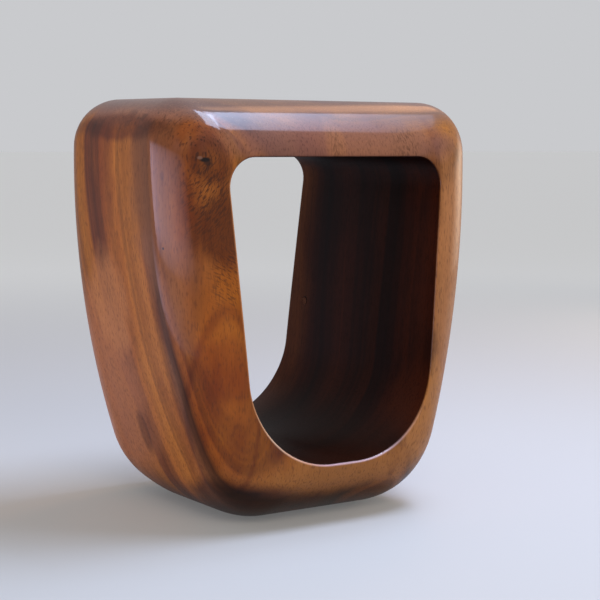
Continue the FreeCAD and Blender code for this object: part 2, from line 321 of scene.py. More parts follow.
drilling = block.modifiers.new("drilling", "BOOLEAN")
drilling.operation = "DIFFERENCE"
drilling.solver = "EXACT"
drilling.object = cutter
drilled = bpy.data.meshes.new_from_object(block.evaluated_get(bpy.context.evaluated_depsgraph_get()))
block.modifiers.remove(drilling)
block.data = drilled
bpy.data.objects.remove(cutter)
shade_smooth(drilled, 50)

# The tunnel's walls carry a value of 1 and the skin 0, with a slower change at the back, where light
# reaches in: the tunnel's darkening that reads it is partly painted shade. The front's rounded edge
# carries a value of up to 1 on the left and below, where hands and cloths rub it pale and where it
# catches a painted highlight. That value fades out towards the right and top limits set below, in x
# and z. The wood's colour reads both values.
BACK_EDGE_VALUE = 0.6
BACK_WALL_RISE = 0.15
FRONT_EDGE_START = 0.4
WEAR_AND_HIGHLIGHT_RIGHT = 110.0
WEAR_AND_HIGHLIGHT_RIGHT_FADE = 50.0
WEAR_AND_HIGHLIGHT_TOP = 385.0
WEAR_AND_HIGHLIGHT_TOP_FADE = 25.0
row_values = [(0.0, 0.0)] * (2 * ROUNDING_ROWS + FLAT_ROWS + 1)
for step in range(1, ARRIS_STEPS + 1):
    row_values.append((BACK_EDGE_VALUE * step / ARRIS_STEPS, 0.0))
for row in range(1, TUNNEL_ROWS):
    row_values.append((min(1.0, BACK_EDGE_VALUE + BACK_WALL_RISE * row), 0.0))
for step in range(ARRIS_STEPS, 0, -1):
    part = step / ARRIS_STEPS
    edge_value = max(0.0, part - FRONT_EDGE_START) / (1 - FRONT_EDGE_START)
    row_values.append((edge_value, 1.0 - abs(part - 0.5) * 2))
nearest = KDTree(len(block_points))
for number, point in enumerate(block_points):
    nearest.insert(point, number)
nearest.balance()
in_tunnel = drilled.attributes.new("in_tunnel", "FLOAT", "POINT")
edge_wear = drilled.attributes.new("edge_wear", "FLOAT", "POINT")
for number, vertex in enumerate(drilled.vertices):
    point_number = nearest.find(vertex.co)[1]
    depth_value, wear_and_highlight = row_values[point_number % row_count]
    rubbed_and_highlit = min(1.0, max(0.0, (WEAR_AND_HIGHLIGHT_RIGHT - vertex.co.x * MM_IN_M) / WEAR_AND_HIGHLIGHT_RIGHT_FADE))
    rubbed_and_highlit *= min(1.0, max(0.0, (WEAR_AND_HIGHLIGHT_TOP - vertex.co.z * MM_IN_M) / WEAR_AND_HIGHLIGHT_TOP_FADE))
    in_tunnel.data[number].value = depth_value
    edge_wear.data[number].value = wear_and_highlight * rubbed_and_highlit


def add(tree, kind, settings=None, links=None):
    """Add a node, set its properties, sockets and colour stops, and join its inputs."""
    node = tree.nodes.new(kind)
    for name, value in (settings or {}).items():
        if name == "stops":
            stops = node.color_ramp.elements
            while len(stops) < len(value):
                stops.new(0.5)
            for stop, (place, colour) in zip(stops, value):
                stop.position = place
                stop.color = colour
        elif isinstance(name, str) and hasattr(node, name):
            setattr(node, name, value)
        else:
            node.inputs[name].default_value = value
    for name, source in (links or {}).items():
        tree.links.new(source, node.inputs[name])
    return node


def linear(code):
    """Turn an sRGB hex colour into the linear one that Blender's sockets take."""
    colour = []
    for place in (1, 3, 5):
        part = int(code[place:place + 2], 16) / 255
        colour.append(part / 12.92 if part <= 0.04045 else ((part + 0.055) / 1.055) ** 2.4)
    return (*colour, 1.0)


def empty_tree(owner):
    """Give the node tree of a material, a world or a lamp, with nothing in it."""
    owner.use_nodes = True
    owner.node_tree.nodes.clear()
    return owner.node_tree


def point_in_mm(tree):
    """Give the point being shaded, in mm."""
    place = add(tree, "ShaderNodeTexCoord")
    scaled = add(tree, "ShaderNodeVectorMath", {"operation": "SCALE", "Scale": MM_IN_M},
                 {0: place.outputs["Object"]})
    return scaled.outputs[0]


def distance_from(tree, point, centre, reach):
    """Measure a point's distance from a centre, where the reach along each axis counts as 1."""
    off = add(tree, "ShaderNodeVectorMath", {"operation": "SUBTRACT", 1: centre}, {0: point})
    reached = add(tree, "ShaderNodeVectorMath", {"operation": "DIVIDE", 1: reach}, {0: off.outputs[0]})
    distance = add(tree, "ShaderNodeVectorMath", {"operation": "LENGTH"}, {0: reached.outputs[0]})
    return distance.outputs["Value"]


def sized_noise(tree, point, size, settings):
    """Draw noise whose marks are about a given size in mm along each axis."""
    mapped = add(tree, "ShaderNodeMapping", {"Scale": [1 / length for length in size]}, {0: point})
    return add(tree, "ShaderNodeTexNoise", {"Scale": 1.0, **settings}, {"Vector": mapped.outputs[0]})


# A reach this long leaves its axis out of a distance.
ANY_LENGTH = 1e6

# The growth layers that the bands cover, by distance from the pith in mm.
INNER_LAYER = 160.0
OUTER_LAYER = 520.0

# The stretch of the opening's edge whose colour changes, in mm from the middle.
EDGE_LEFT = -135.0
EDGE_RIGHT = 85.0

# Rain tree heartwood, carved across its growth layers, oiled and sprayed with satin lacquer. The eye
# sees broad orange and brown bands that follow the carving, short dark pore dashes and a soft gloss.
# The skin has the lacquer's full gloss. The tunnel, which a sander can't reach so well, is duller.
for wood_name, coat_weight, coat_roughness, shine in (
        ("lacquered_rain_tree_wood", 0.27, 0.09, 0.04),
        ("oiled_rain_tree_tunnel", 0.0, 0.3, 0.05)):
    wood = bpy.data.materials.new(wood_name)
    tree = empty_tree(wood)
    in_mm = point_in_mm(tree)
    split = add(tree, "ShaderNodeSeparateXYZ", {}, {0: in_mm})

    # Growth layers lie round a pith behind the block. Slow noise makes them wander by up to 17 mm, far
    # more quickly across the grain than along it.
    wander = sized_noise(tree, in_mm, (130, 130, 420), {"Detail": 2.0})
    wander_out = add(tree, "ShaderNodeVectorMath", {"operation": "SUBTRACT", 1: (0.5, 0.5, 0.5)},
                     {0: wander.outputs["Color"]})
    wandered = add(tree, "ShaderNodeVectorMath", {"operation": "MULTIPLY_ADD", 1: (34.0, 34.0, 0.0)},
                   {0: wander_out.outputs[0], 2: in_mm})
    bulged = distance_from(tree, wandered.outputs[0], (60.0, 300.0, 0.0), (1.0, 1.0, ANY_LENGTH))

    # The layers bulge round the knot in the front's upper left, under it, round a crook low on the
    # right, and below the belly. The fibres shift sideways there too, so that they fan out round the
    # knot. Each bulge has its centre, its reach, its rise and the fibres' shift, all in mm.
    flowing = in_mm
    bulges = []
    for centre, reach, rise, shift in (
            ((-158.0, -135.0, 390.0), (40.0, 110.0, 78.0), 16.0, -24.0),
            ((-122.0, -140.0, 322.0), (44.0, 90.0, 104.0), 10.0, 34.0),
            ((84.0, -140.0, 60.0), (60.0, 90.0, 46.0), 12.0, 12.0),
            ((60.0, -90.0, -6.0), (150.0, 140.0, 80.0), 78.0, 0.0)):
        bulge = add(tree, "ShaderNodeMapRange",
                    {"interpolation_type": "SMOOTHSTEP", "To Min": 1.0, "To Max": 0.0},
                    {"Value": distance_from(tree, in_mm, centre, reach)}).outputs[0]
        bulged = add(tree, "ShaderNodeMath", {"operation": "MULTIPLY_ADD", 1: rise},
                     {0: bulge, 2: bulged}).outputs[0]
        flowing = add(tree, "ShaderNodeVectorMath", {"operation": "MULTIPLY_ADD", 1: (shift, 0.0, 0.0)},
                      {0: bulge, 2: flowing}).outputs[0]
        bulges.append(bulge)

    # Broad bands by distance from the pith in mm: a bright strip and a dark one at the back of the
    # left side, an orange middle, and a dark line along the front's left rounding that is a painted
    # dark reflection.
    band_place = add(tree, "ShaderNodeMapRange", {"From Min": INNER_LAYER, "From Max": OUTER_LAYER},
                     {"Value": bulged})
    band_stops = []
    for depth, colour in (
            (160, "#5e3014"), (205, "#8a5222"), (240, "#5c2e12"), (275, "#9a5e26"), (310, "#7e4719"),
            (330, "#804a12"), (341, "#905612"), (349, "#884e0e"), (353, "#602a08"), (364, "#64300c"),
            (374, "#7a4216"), (388, "#9e5e1e"), (400, "#a66622"), (414, "#8e541a"), (428, "#a26426"),
            (437, "#90561f"), (443, "#724622"), (450, "#5e3a20"), (454, "#482812"), (458, "#8a5220"),
            (464, "#a0642a"), (467, "#7e4a1e"), (471, "#a86a24"), (484, "#965722"),
            (496, "#ac6c2a"), (520, "#985c2a")):
        band_stops.append(((depth - INNER_LAYER) / (OUTER_LAYER - INNER_LAYER), linear(colour)))
    band_colour = add(tree, "ShaderNodeValToRGB", {"stops": band_stops}, {"Fac": band_place.outputs[0]})

    # Finer layers inside the bands, about 9 mm apart, with thinner ones inside those.
    fine_place = add(tree, "ShaderNodeMath", {"operation": "MULTIPLY", 1: 1 / 9}, {0: bulged})
    fine_layers = add(tree, "ShaderNodeTexNoise",
                      {"noise_dimensions": "1D", "Scale": 1.0, "Detail": 4.0, "Roughness": 0.6},
                      {"W": fine_place.outputs[0]})
    fine_tone = add(tree, "ShaderNodeMapRange",
                    {"From Min": 0.3, "From Max": 0.7, "To Min": 0.74, "To Max": 1.2},
                    {"Value": fine_layers.outputs["Fac"]})
    layered = add(tree, "ShaderNodeMix", {"data_type": "RGBA", "blend_type": "MULTIPLY", 0: 1.0},
                  {6: band_colour.outputs["Color"], 7: fine_tone.outputs[0]})

    # Slow patches of lighter and darker wood.
    patches = sized_noise(tree, in_mm, (60, 60, 190), {"Detail": 3.0, "Distortion": 0.6})
    patch_tone = add(tree, "ShaderNodeValToRGB", {"stops": [
        (0.32, linear("#c2a592")),
        (0.50, linear("#f2eee8")),
        (0.68, linear("#ffffff"))]}, {"Fac": patches.outputs["Fac"]})
    patched = add(tree, "ShaderNodeMix", {"data_type": "RGBA", "blend_type": "MULTIPLY", 0: 1.0},
                  {6: layered.outputs[2], 7: patch_tone.outputs["Color"]})

    # Patches that belong to one place. Each is a soft spot with a frayed edge, given by its centre and
    # reach in mm, the way it blends, its strength and its colour.
    fray = sized_noise(tree, in_mm, (22, 22, 40), {"Detail": 3.0})
    fray_off = add(tree, "ShaderNodeMapRange", {"To Min": -0.35, "To Max": 0.35},
                   {"Value": fray.outputs["Fac"]}).outputs[0]
    coloured = patched.outputs[2]
    for centre, reach, blend, most, colour in (
            # Left side: orange low down, browner by the front rounding as a painted dark reflection, and
            # brown along the top corner, where its lighter tone is partly a painted sheen.
            ((-170.0, 70.0, 110.0), (70.0, 80.0, 150.0), "MIX", 0.72, "#965c34"),
            ((-195.0, -80.0, 372.0), (30.0, 44.0, 120.0), "MIX", 0.75, "#6c4022"),
            ((-185.0, -30.0, 444.0), (64.0, 140.0, 24.0), "MIX", 0.75, "#8c5a40"),
            ((-198.0, -14.0, 420.0), (30.0, 100.0, 16.0), "MULTIPLY", 0.9, "#b09078"),
            ((-184.0, 35.0, 230.0), (30.0, 44.0, 64.0), "MIX", 0.65, "#a46a38"),
            ((-180.0, -108.0, 246.0), (26.0, 30.0, 66.0), "MIX", 0.6, "#74482e"),
            # Rail, then the right stile and its foot, made paler and more orange by painted light from the
            # right.
            ((10.0, -118.0, 404.0), (190.0, 70.0, 26.0), "MIX", 0.7, "#7c5042"),
            ((162.0, -135.0, 240.0), (44.0, 60.0, 170.0), "MIX", 0.7, "#bc7a46"),
            ((114.0, -138.0, 104.0), (46.0, 60.0, 64.0), "MIX", 0.85, "#b4753a"),
            # A small swirl at the belly's right end.
            ((38.0, -142.0, 44.0), (11.0, 40.0, 12.0), "MULTIPLY", 0.8, "#907050"),
            ((52.0, -146.0, 62.0), (9.0, 40.0, 12.0), "MIX", 0.5, "#b4763c"),
            ((66.0, -144.0, 56.0), (8.0, 40.0, 18.0), "MULTIPLY", 0.7, "#987858"),
            # A dark smudge low on the left side.
            ((-150.0, 22.0, 88.0), (20.0, 13.0, 30.0), "MULTIPLY", 0.8, "#a08a7c"),
            # The brown wood below the knot.
            ((-156.0, -134.0, 334.0), (40.0, 60.0, 52.0), "MULTIPLY", 0.45, "#c8ac88"),
            ((-144.0, -135.0, 318.0), (32.0, 60.0, 40.0), "MULTIPLY", 0.8, "#a88c5e"),
            # The belly's golden lip, and its dark left corner: darker wood with painted shade by the floor.
            ((-16.0, -145.0, 58.0), (116.0, 50.0, 30.0), "MIX", 0.88, "#a2662c"),
            ((-112.0, -104.0, 26.0), (84.0, 70.0, 34.0), "MULTIPLY", 0.9, "#8a6a50"),
            # The dark wood round the knot, then the golden left stile under it.
            ((-158.0, -130.0, 388.0), (24.0, 50.0, 28.0), "MULTIPLY", 0.8, "#a8886c"),
            ((-138.0, -140.0, 222.0), (56.0, 60.0, 70.0), "MULTIPLY", 1.0, "#fff0a4"),
            ((-120.0, -140.0, 120.0), (90.0, 60.0, 70.0), "MULTIPLY", 1.0, "#ead69a"),
            # Two patches of ripple in the rail, and a duller one in the left stile.
            ((-4.0, -110.0, 400.0), (14.0, 60.0, 34.0), "MIX", 0.5, "#9c643c"),
            ((88.0, -110.0, 400.0), (28.0, 60.0, 34.0), "MIX", 0.55, "#845438"),
            ((-142.0, -140.0, 176.0), (44.0, 60.0, 36.0), "MULTIPLY", 0.8, "#d8c4b0")):
        frayed = add(tree, "ShaderNodeMath", {"operation": "ADD"},
                     {0: distance_from(tree, in_mm, centre, reach), 1: fray_off})
        strength = add(tree, "ShaderNodeMapRange",
                       {"interpolation_type": "SMOOTHSTEP", "From Min": 0.6, "From Max": 1.15,
                        "To Min": most, "To Max": 0.0},
                       {"Value": frayed.outputs[0]})
        coloured = add(tree, "ShaderNodeMix",
                       {"data_type": "RGBA", "blend_type": blend, 7: linear(colour)},
                       {0: strength.outputs[0], 6: coloured}).outputs[2]

    # A brown line arches through the golden wood of the left stile, where the cut just grazes a layer.
    arch = distance_from(tree, in_mm, (-142.0, -138.0, 114.0), (33.0, 60.0, 122.0))
    line_off = add(tree, "ShaderNodeMath", {"operation": "MULTIPLY_ADD", 1: 0.12, 2: -1.0}, {0: fray_off})
    from_line = add(tree, "ShaderNodeMath", {"operation": "ADD"}, {0: arch, 1: line_off.outputs[0]})
    line_gap = add(tree, "ShaderNodeMath", {"operation": "ABSOLUTE"}, {0: from_line.outputs[0]})
    line_mark = add(tree, "ShaderNodeMapRange",
                    {"interpolation_type": "SMOOTHSTEP", "From Max": 0.13, "To Min": 0.5, "To Max": 0.0},
                    {"Value": line_gap.outputs[0]})
    lined = add(tree, "ShaderNodeMix",
                {"data_type": "RGBA", "blend_type": "MULTIPLY", 7: linear("#a87c54")},
                {0: line_mark.outputs[0], 6: coloured})

    # Fibres and pores run up the block and flow round the knot. Real pores are 0.3 mm wide: they are
    # drawn 1.7 mm wide, so that they show.
    fibres = sized_noise(tree, flowing, (1.6, 1.6, 45), {"Detail": 4.0, "Roughness": 0.6})
    fibre_tone = add(tree, "ShaderNodeMapRange",
                     {"From Min": 0.3, "From Max": 0.7, "To Min": 0.88, "To Max": 1.1},
                     {"Value": fibres.outputs["Fac"]})
    toned = add(tree, "ShaderNodeMix", {"data_type": "RGBA", "blend_type": "MULTIPLY", 0: 1.0},
                {6: lined.outputs[2], 7: fibre_tone.outputs[0]})
    pores = sized_noise(tree, flowing, (1.7, 1.7, 8), {"Detail": 1.0})
    by_knot = add(tree, "ShaderNodeMath", {"operation": "MULTIPLY_ADD", 1: 0.6, 2: 0.34}, {0: bulges[0]})
    near_knot = add(tree, "ShaderNodeMath", {"operation": "MULTIPLY_ADD", 1: 0.3},
                    {0: bulges[1], 2: by_knot.outputs[0]})
    pore_mark = add(tree, "ShaderNodeMapRange", {"From Min": 0.55, "From Max": 0.66},
                    {"Value": pores.outputs["Fac"], "To Max": near_knot.outputs[0]})
    pored = add(tree, "ShaderNodeMix", {"data_type": "RGBA", 7: linear("#3a1c0c")},
                {0: pore_mark.outputs[0], 6: toned.outputs[2]})

    # Strands turned out of line by the knot: short dark dashes that rise toward the eye beside and
    # under it, others that fall toward the opening's edge in the golden wood below, more at the top
    # left corner, and two patches of ripple in the rail. Centre and reach are in mm, the lean in
    # degrees.
    stranded = pored.outputs[2]
    for centre, reach, lean, most in (
            ((-158.0, -131.0, 348.0), (36.0, 60.0, 68.0), 40.0, 0.8),
            ((-139.0, -137.0, 270.0), (30.0, 60.0, 50.0), -58.0, 0.6),
            ((-186.0, -60.0, 426.0), (36.0, 70.0, 26.0), 40.0, 0.45),
            ((-4.0, -110.0, 400.0), (14.0, 60.0, 34.0), 10.0, 0.5),
            ((88.0, -110.0, 400.0), (28.0, 60.0, 34.0), -10.0, 0.6)):
        strength = add(tree, "ShaderNodeMapRange",
                       {"interpolation_type": "SMOOTHSTEP", "From Min": 0.3, "From Max": 1.0,
                        "To Min": most, "To Max": 0.0},
                       {"Value": distance_from(tree, in_mm, centre, reach)})
        strand_map = add(tree, "ShaderNodeMapping", {
            "vector_type": "TEXTURE",
            "Rotation": (0.0, math.radians(lean), 0.0),
            "Scale": (1.5, 8.0, 7.0)}, {0: in_mm})
        strands = add(tree, "ShaderNodeTexNoise", {"Scale": 1.0, "Detail": 2.0},
                      {"Vector": strand_map.outputs[0]})
        strand_mark = add(tree, "ShaderNodeMapRange", {"From Min": 0.5, "From Max": 0.62},
                          {"Value": strands.outputs["Fac"], "To Max": strength.outputs[0]})
        stranded = add(tree, "ShaderNodeMix", {"data_type": "RGBA", 7: linear("#3c1e0c")},
                       {0: strand_mark.outputs[0], 6: stranded}).outputs[2]

    # The knot's dark eye in two parts with a painted glint beside it, where a small dent by the eye
    # catches the light, then a small smudge and a pinhole in the left rounding. Centre and reach are in mm.
    marked = stranded
    for centre, reach, most, colour in (
            ((-161.0, -126.5, 387.5), (5.2, 12.0, 2.4), 1.0, "#170b06"),
            ((-158.5, -126.5, 384.0), (3.4, 12.0, 2.6), 0.8, "#2a150b"),
            ((-166.0, -126.5, 389.5), (2.4, 12.0, 1.6), 0.45, "#8a6a58"),
            ((-194.4, -98.8, 371.0), (6.0, 1.8, 5.0), 0.45, "#3a2018"),
            ((-192.0, -96.0, 298.0), (4.0, 1.2, 1.4), 1.0, "#150a06")):
        strength = add(tree, "ShaderNodeMapRange",
                       {"From Min": 0.7, "From Max": 1.3, "To Min": most, "To Max": 0.0},
                       {"Value": distance_from(tree, in_mm, centre, reach)})
        marked = add(tree, "ShaderNodeMix", {"data_type": "RGBA", 7: linear(colour)},
                     {0: strength.outputs[0], 6: marked}).outputs[2]

    # Where the carving cuts across the grain, on top and below, end grain soaks up more oil and is
    # darker, with pale specks on top where the pores are filled. The darkening below is also painted
    # shade, on the faces turned down towards the floor.
    facing = add(tree, "ShaderNodeNewGeometry")
    facing_split = add(tree, "ShaderNodeSeparateXYZ", {}, {0: facing.outputs["Normal"]})
    facing_up = add(tree, "ShaderNodeMapRange",
                    {"interpolation_type": "SMOOTHSTEP", "From Min": 0.5, "From Max": 0.92, "To Max": 0.72},
                    {"Value": facing_split.outputs["Z"]})
    end_tone = add(tree, "ShaderNodeMix", {"data_type": "RGBA", 7: linear("#5e4e48")},
                   {0: facing_up.outputs[0], 6: marked})
    facing_down = add(tree, "ShaderNodeMapRange",
                      {"interpolation_type": "SMOOTHSTEP", "From Min": -0.35, "From Max": -0.95},
                      {"Value": facing_split.outputs["Z"]})
    end_grain_and_shade_below = add(tree, "ShaderNodeMix",
                     {"data_type": "RGBA", "blend_type": "MULTIPLY", 7: linear("#96745c")},
                     {0: facing_down.outputs[0], 6: end_tone.outputs[2]})
    specks = sized_noise(tree, in_mm, (1.5, 1.5, 8), {"Detail": 1.0})
    facing_more = add(tree, "ShaderNodeMapRange", {"From Min": 0.45, "From Max": 0.95, "To Max": 0.35},
                      {"Value": facing_split.outputs["Z"]})
    speck_mark = add(tree, "ShaderNodeMapRange", {"From Min": 0.64, "From Max": 0.74},
                     {"Value": specks.outputs["Fac"], "To Max": facing_more.outputs[0]})
    specked = add(tree, "ShaderNodeMix", {"data_type": "RGBA", 7: linear("#b48a66")},
                  {0: speck_mark.outputs[0], 6: end_grain_and_shade_below.outputs[2]})

    # The opening's edge is rubbed pale and carries a painted highlight. It is cream in the lower left
    # corner, and along the floor it is a painted reflection of the sky's lilac. Its colour changes with x,
    # in mm from the middle.
    along_edge = add(tree, "ShaderNodeMapRange", {"From Min": EDGE_LEFT, "From Max": EDGE_RIGHT},
                     {"Value": split.outputs["X"]})
    worn_and_highlit_edge_stops = []
    for across, colour in (
            (-135, "#e09a62"), (-118, "#e09a62"), (-105, "#f8c498"), (-90, "#ffd8b4"), (-72, "#ffd0b0"),
            (-45, "#f0bca6"), (-20, "#ebcada"), (45, "#ebd2dc"), (75, "#b89a98")):
        worn_and_highlit_edge_stops.append(((across - EDGE_LEFT) / (EDGE_RIGHT - EDGE_LEFT), linear(colour)))
    worn_and_highlit_edge_colour = add(tree, "ShaderNodeValToRGB", {"stops": worn_and_highlit_edge_stops}, {"Fac": along_edge.outputs[0]})
    worn_and_highlit_value = add(tree, "ShaderNodeAttribute", {"attribute_name": "edge_wear"})
    worn_and_highlit_share = add(tree, "ShaderNodeMath", {"operation": "MULTIPLY", 1: 0.85},
                     {0: worn_and_highlit_value.outputs["Fac"]})
    worn_and_highlit = add(tree, "ShaderNodeMix", {"data_type": "RGBA"},
               {0: worn_and_highlit_share.outputs[0], 6: specked.outputs[2], 7: worn_and_highlit_edge_colour.outputs["Color"]})

    # The tunnel is cut deep into the dark heartwood. Its darkening is also painted shade, which eases off
    # at the back's edge, where light reaches in.
    tunnel_value = add(tree, "ShaderNodeAttribute", {"attribute_name": "in_tunnel"})
    heartwood_and_shade = add(tree, "ShaderNodeMix",
                   {"data_type": "RGBA", "blend_type": "MULTIPLY", 7: linear("#5e3d2d")},
                   {0: tunnel_value.outputs["Fac"], 6: worn_and_highlit.outputs[2]})

    # The finish sinks into the pores, so it is duller there.
    roughness = add(tree, "ShaderNodeMapRange", {"To Min": 0.36, "To Max": 0.56},
                    {"Value": pores.outputs["Fac"]})
    finish = add(tree, "ShaderNodeBsdfPrincipled",
                 {"IOR": 1.5, "Specular IOR Level": shine,
                  "Coat Weight": coat_weight, "Coat IOR": 1.7, "Coat Roughness": coat_roughness},
                 {"Base Color": heartwood_and_shade.outputs[2], "Roughness": roughness.outputs[0]})
    add(tree, "ShaderNodeOutputMaterial", {}, {"Surface": finish.outputs[0]})
    block.data.materials.append(wood)

# The duller finish starts behind the front's rounded edge, and right at the back's.
DULL_FROM_FRONT = 0.95
DULL_FROM_BACK = 0.1
for polygon in drilled.polygons:
    lowest = min(in_tunnel.data[number].value for number in polygon.vertices)
    dull_from = DULL_FROM_BACK if polygon.center.y > 0 else DULL_FROM_FRONT
    polygon.material_index = int(lowest > dull_from)
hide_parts("carved_block")
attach(block, "root")

# Plug
# A round wooden plug fills a hole in the right wall. It was turned from straight wood, tapped in and
# planed off almost level with the wall.
PLUG_PROUD = 0.2
PLUG_ARRIS = 0.4
PLUG_ARRIS_END = 0.15
PLUG_CHAMFER = 0.6
plug_mesh = turned([
    (0, -PLUG_PROUD),
    (PLUG_RADIUS - PLUG_ARRIS, -PLUG_PROUD),
    (PLUG_RADIUS, PLUG_ARRIS_END),
    (PLUG_RADIUS, PLUG_LENGTH - PLUG_CHAMFER),
    (PLUG_RADIUS - PLUG_CHAMFER, PLUG_LENGTH),
    (0, PLUG_LENGTH)], ROUND_STEPS, "knot_plug_mesh")
for vertex in plug_mesh.vertices:
    level = Vector((vertex.co.z, vertex.co.x, vertex.co.y))
    level.x += level.z * math.tan(OPENING_LEAN) * (1 - max(0.0, level.x * MM_IN_M) / PLUG_LENGTH)
    vertex.co = level + Vector((wall_at_plug, plug_back, PLUG_HEIGHT)) / MM_IN_M
face_outwards(plug_mesh)
shade_smooth(plug_mesh, 40)
plug = bpy.data.objects.new("turned_plug", plug_mesh)
bpy.context.scene.collection.objects.link(plug)

# Straight-grained wood, oiled and not lacquered, so it is matt. A dark line, drawn 1 mm wide, shows
# on one side of it: a glue line, made dark on that side only by painted shade where the plug's edge
# steps. The distance from the middle leaves out the plug's length.
plug_wood = bpy.data.materials.new("turned_end_grain_plug")
tree = empty_tree(plug_wood)
in_mm = point_in_mm(tree)
specks = sized_noise(tree, in_mm, (10 / 3, 5 / 7, 5 / 7), {"Detail": 2.0})
plug_colour = add(tree, "ShaderNodeValToRGB", {"stops": [
    (0.35, linear("#3a2014")),
    (0.62, linear("#5a3620"))]}, {"Fac": specks.outputs["Fac"]})
plug_middle = (0.0, plug_back + 0.7, PLUG_HEIGHT - 0.7)
glue_line_and_shade = add(tree, "ShaderNodeMapRange", {"From Min": 4.0, "From Max": 5.2},
                {"Value": distance_from(tree, in_mm, plug_middle, (ANY_LENGTH, 1.0, 1.0))})
plug_edged = add(tree, "ShaderNodeMix", {"data_type": "RGBA", 7: linear("#140a06")},
                 {0: glue_line_and_shade.outputs[0], 6: plug_colour.outputs[0]})
plug_finish = add(tree, "ShaderNodeBsdfPrincipled", {
    "Roughness": 0.6,
    "IOR": 1.5,
    "Specular IOR Level": 0.05}, {"Base Color": plug_edged.outputs[2]})
add(tree, "ShaderNodeOutputMaterial", {}, {"Surface": plug_finish.outputs[0]})
plug.data.materials.append(plug_wood)
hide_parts("knot_plug")
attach(plug, "root")

# Glides
# Four moulded nylon discs let into the planed foot keep the wood off the floor. Each stands 1 mm
# proud, has a bevelled lower edge and a stepped hole for its screw.
GLIDE_RADIUS = 10.0
GLIDE_BEVEL = 0.8
BEVEL_BREAK = (0.25, 0.36)
SCREW_HEAD_RADIUS = 3.5
SCREW_HEAD_HEIGHT = 1.8
SCREW_SETBACK = 1.0
SCREW_ROOM = 0.15
SHANK_RADIUS = 1.75
SEAT_HEIGHT = SCREW_SETBACK + SCREW_HEAD_HEIGHT
TURNING_STEPS = 64
MERGE_WITHIN = 0.02


def turning_tree(name, section, detail):
    """Build a tree that turns a section of (radius, height) in mm and sets one at each glide's place."""
    tree = bpy.data.node_groups.new(name, "GeometryNodeTree")
    sockets = {}
    for title, kind in (
            ("Across", "NodeSocketFloat"),
            ("Deep", "NodeSocketFloat"),
            ("Steps", "NodeSocketInt"),
            ("Finish", "NodeSocketMaterial")):
        sockets[title] = tree.interface.new_socket(title, in_out="INPUT", socket_type=kind)
    tree.interface.new_socket("Geometry", in_out="OUTPUT", socket_type="NodeSocketGeometry")
    given = add(tree, "NodeGroupInput")
    corner_number = add(tree, "GeometryNodeInputIndex")
    corners = add(tree, "GeometryNodeIndexSwitch", {"data_type": "VECTOR"},
                  {"Index": corner_number.outputs[0]})
    while len(corners.index_switch_items) < len(section):
        corners.index_switch_items.new()
    for number, (radius, height) in enumerate(section):
        # The path's own left is its outside, and a section's second axis points down from it.
        corner = ((radius - GLIDE_RADIUS) / MM_IN_M, -height / MM_IN_M, 0.0)
        corners.inputs[number + 1].default_value = corner
    points = add(tree, "GeometryNodePoints", {"Count": len(section)}, {"Position": corners.outputs[0]})
    joined = add(tree, "GeometryNodePointsToCurves", {}, {"Points": points.outputs[0]})
    closed = add(tree, "GeometryNodeSetSplineCyclic", {"Cyclic": True}, {0: joined.outputs[0]})
    path = add(tree, "GeometryNodeCurvePrimitiveCircle", {"Radius": GLIDE_RADIUS / MM_IN_M},
               {"Resolution": given.outputs["Steps"]})
    turned_part = add(tree, "GeometryNodeCurveToMesh", {},
                      {"Curve": path.outputs[0], "Profile Curve": closed.outputs[0]})
    sealed = add(tree, "GeometryNodeMergeByDistance", {"Distance": MERGE_WITHIN / MM_IN_M},
                 {"Geometry": turned_part.outputs[0]})
    part = sealed.outputs[0]
    if detail:
        part = detail(tree, part)
    places = add(tree, "GeometryNodeMeshGrid", {"Vertices X": 2, "Vertices Y": 2},
                 {"Size X": given.outputs["Across"], "Size Y": given.outputs["Deep"]})
    placed = add(tree, "GeometryNodeInstanceOnPoints", {}, {"Points": places.outputs[0], "Instance": part})
    made_real = add(tree, "GeometryNodeRealizeInstances", {}, {0: placed.outputs[0]})
    finished = add(tree, "GeometryNodeSetMaterial", {},
                   {"Geometry": made_real.outputs[0], "Material": given.outputs["Finish"]})
    add(tree, "NodeGroupOutput", {}, {0: finished.outputs[0]})
    return tree, sockets


def set_out(name, section, detail, finish):
    """Turn the section, set it at the four places, and give the result as one plain mesh object."""
    tree, sockets = turning_tree(name + "_tree", section, detail)
    holder = bpy.data.objects.new(name, bpy.data.meshes.new(name + "_start"))
    bpy.context.scene.collection.objects.link(holder)
    turning = holder.modifiers.new("turning", "NODES")
    turning.node_group = tree
    turning[sockets["Across"].identifier] = GLIDE_ACROSS / MM_IN_M
    turning[sockets["Deep"].identifier] = GLIDE_DEEP / MM_IN_M
    turning[sockets["Steps"].identifier] = TURNING_STEPS
    turning[sockets["Finish"].identifier] = finish
    made = bpy.data.meshes.new_from_object(holder.evaluated_get(bpy.context.evaluated_depsgraph_get()))
    holder.modifiers.remove(turning)
    holder.data = made
    face_outwards(made)
    shade_smooth(made, 30)
    return holder


